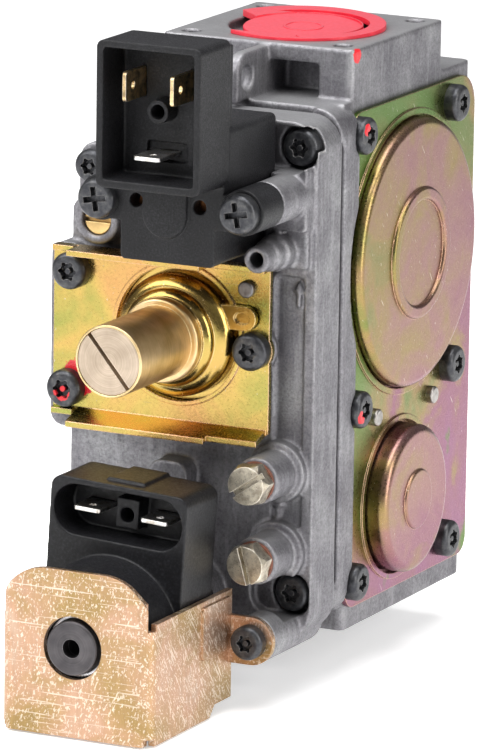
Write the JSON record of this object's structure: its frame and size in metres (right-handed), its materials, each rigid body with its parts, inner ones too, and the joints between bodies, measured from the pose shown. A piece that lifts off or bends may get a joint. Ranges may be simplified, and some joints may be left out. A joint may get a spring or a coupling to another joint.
{
  "type": "gas valve",
  "caption": "Two-coil servo gas control valve with a cast body, regulator, test points, domed side plate and a plugged outlet flange.",
  "frame": {"origin": "centre of the inlet flange's bolt pattern, on the gas flow axis, at the inlet face", "axes": "+Z along the gas flow from the inlet to the outlet, -Y towards the coils and the regulator, +X towards the domed side plate"},
  "size_m": [0.0652, 0.1331, 0.1454],
  "materials": {
    "cast_aluminium": "die-cast aluminium with a fine grain",
    "chromate_zinc": "yellow chromate zinc plate that shifts between yellow, green and pink",
    "black_plastic": "matte glass-filled moulding",
    "brass": "turned brass",
    "brass_end": "fine turned matte metal",
    "nickel": "dull nickel plate",
    "black_steel": "black oxide",
    "core_steel": "turned stainless steel",
    "inner_steel": "plain steel",
    "rubber": "nitrile rubber",
    "red_plastic": "soft red moulding",
    "copper": "enamelled copper winding",
    "tinned": "tinned brass blade",
    "screen": "perforated stainless steel"
  },
  "bodies": {
    "valve_body": {"main_body": "cast_aluminium", "front_cover": "cast_aluminium", "cover_gasket": "rubber", "cover_screws": "black_steel", "inlet_filter": "screen", "side_plate": "chromate_zinc", "side_plate_screws": "black_steel", "side_plate_pins": "nickel", "main_dome": "chromate_zinc", "safety_dome": "chromate_zinc", "main_diaphragm": "rubber", "main_closing_spring": "inner_steel", "safety_diaphragm": "rubber", "safety_closing_spring": "inner_steel", "regulator_plate": "chromate_zinc", "regulator_plate_screws": "black_steel", "regulator_plate_pin": "nickel", "regulator_cup": "chromate_zinc", "regulator_sleeve": "brass", "regulator_spring": "inner_steel", "regulator_diaphragm": "rubber", "ev2_housing": "black_plastic", "ev2_line_terminals": "brass", "ev2_earth_terminal": "tinned", "ev2_screws": "black_steel", "ev2_winding": "copper", "ev2_core_tube": "core_steel", "ev2_fixed_core": "core_steel", "ev2_spring": "inner_steel", "ev1_housing": "black_plastic", "ev1_terminals": "brass", "ev1_winding": "copper", "ev1_bracket": "chromate_zinc", "ev1_bracket_screws": "black_steel", "ev1_core_tube": "core_steel", "ev1_fixed_core": "core_steel", "ev1_spring": "inner_steel"},
    "ev1_armature": {"ev1_plunger": "core_steel", "ev1_valve_disc": "inner_steel", "ev1_disc_seal": "rubber"},
    "ev2_armature": {"ev2_plunger": "core_steel", "ev2_plunger_tip": "rubber"},
    "main_valve": {"main_valve_stem": "inner_steel", "main_valve_disc": "inner_steel", "main_valve_seal": "rubber", "main_diaphragm_plates": "inner_steel"},
    "safety_valve": {"safety_valve_stem": "inner_steel", "safety_valve_disc": "inner_steel", "safety_valve_seal": "rubber", "safety_diaphragm_plates": "inner_steel"},
    "regulator_follower": {"regulator_spring_seat": "inner_steel"},
    "regulator_adjuster": {"regulator_adjusting_screw": "brass_end"},
    "regulator_plunger": {"regulator_piston": "inner_steel"},
    "throttle": {"throttle_screw": "brass"},
    "outlet_test_seal": {"outlet_test_washer": "rubber"},
    "outlet_test_plug": {"outlet_test_screw": "nickel"},
    "inlet_test_seal": {"inlet_test_washer": "rubber"},
    "inlet_test_plug": {"inlet_test_screw": "nickel"},
    "outlet_plug": {"outlet_cap": "red_plastic"}
  },
  "joints": [
    {"name": "ev1_valve_travel", "type": "slide", "parent": "valve_body", "child": "ev1_armature", "axis": [0, -1, 0], "range_m": [0, 0.0022], "stiffness_N_per_m": 300, "springref_m": -0.004, "deforming": ["ev1_spring"]},
    {"name": "ev2_valve_travel", "type": "slide", "parent": "valve_body", "child": "ev2_armature", "axis": [0, -1, 0], "range_m": [0, 0.0009], "stiffness_N_per_m": 150, "springref_m": -0.003, "deforming": ["ev2_spring"]},
    {"name": "main_valve_travel", "type": "slide", "parent": "valve_body", "child": "main_valve", "axis": [-1, 0, 0], "range_m": [0, 0.004], "stiffness_N_per_m": 400, "springref_m": -0.006, "deforming": ["main_closing_spring", "main_diaphragm"]},
    {"name": "safety_valve_travel", "type": "slide", "parent": "valve_body", "child": "safety_valve", "axis": [-1, 0, 0], "range_m": [0, 0.003], "stiffness_N_per_m": 400, "springref_m": -0.006, "deforming": ["safety_closing_spring", "safety_diaphragm"]},
    {"name": "regulator_adjuster_travel", "type": "slide", "parent": "valve_body", "child": "regulator_follower", "axis": [0, 1, 0], "range_m": [-0.001, 0.002], "deforming": ["regulator_spring"]},
    {"name": "regulator_adjuster_turn", "type": "hinge", "parent": "regulator_follower", "child": "regulator_adjuster", "pos_m": [-0.0046, -0.076, 0.0678], "axis": [0, 1, 0], "range_deg": [-360, 720]},
    {"name": "regulator_plunger_travel", "type": "slide", "parent": "valve_body", "child": "regulator_plunger", "axis": [0, 1, 0], "range_m": [-0.001, 0.001], "stiffness_N_per_m": 500, "deforming": ["regulator_diaphragm"]},
    {"name": "throttle_turn", "type": "hinge", "parent": "valve_body", "child": "throttle", "pos_m": [-0.024, -0.047, 0.0903], "axis": [0, 1, 0], "range_deg": [-360, 360]},
    {"name": "outlet_test_travel", "type": "slide", "parent": "valve_body", "child": "outlet_test_seal", "axis": [0, 1, 0], "range_m": [-0.002, 0]},
    {"name": "outlet_test_turn", "type": "hinge", "parent": "outlet_test_seal", "child": "outlet_test_plug", "pos_m": [0.0179, -0.059, 0.0398], "axis": [0, 1, 0], "range_deg": [-720, 0]},
    {"name": "inlet_test_travel", "type": "slide", "parent": "valve_body", "child": "inlet_test_seal", "axis": [0, 1, 0], "range_m": [-0.002, 0]},
    {"name": "inlet_test_turn", "type": "hinge", "parent": "inlet_test_seal", "child": "inlet_test_plug", "pos_m": [0.0179, -0.059, 0.0225], "axis": [0, 1, 0], "range_deg": [-720, 0]},
    {"name": "outlet_cap_lift", "type": "slide", "parent": "valve_body", "child": "outlet_plug", "axis": [0, 0, 1], "range_m": [0, 0.012]}
  ],
  "couplings": [
    {"joint": "regulator_adjuster_turn", "follows": "regulator_adjuster_travel", "rad_per_m": 6283.2},
    {"joint": "outlet_test_turn", "follows": "outlet_test_travel", "rad_per_m": 6283.2},
    {"joint": "inlet_test_turn", "follows": "inlet_test_travel", "rad_per_m": 6283.2}
  ]
}
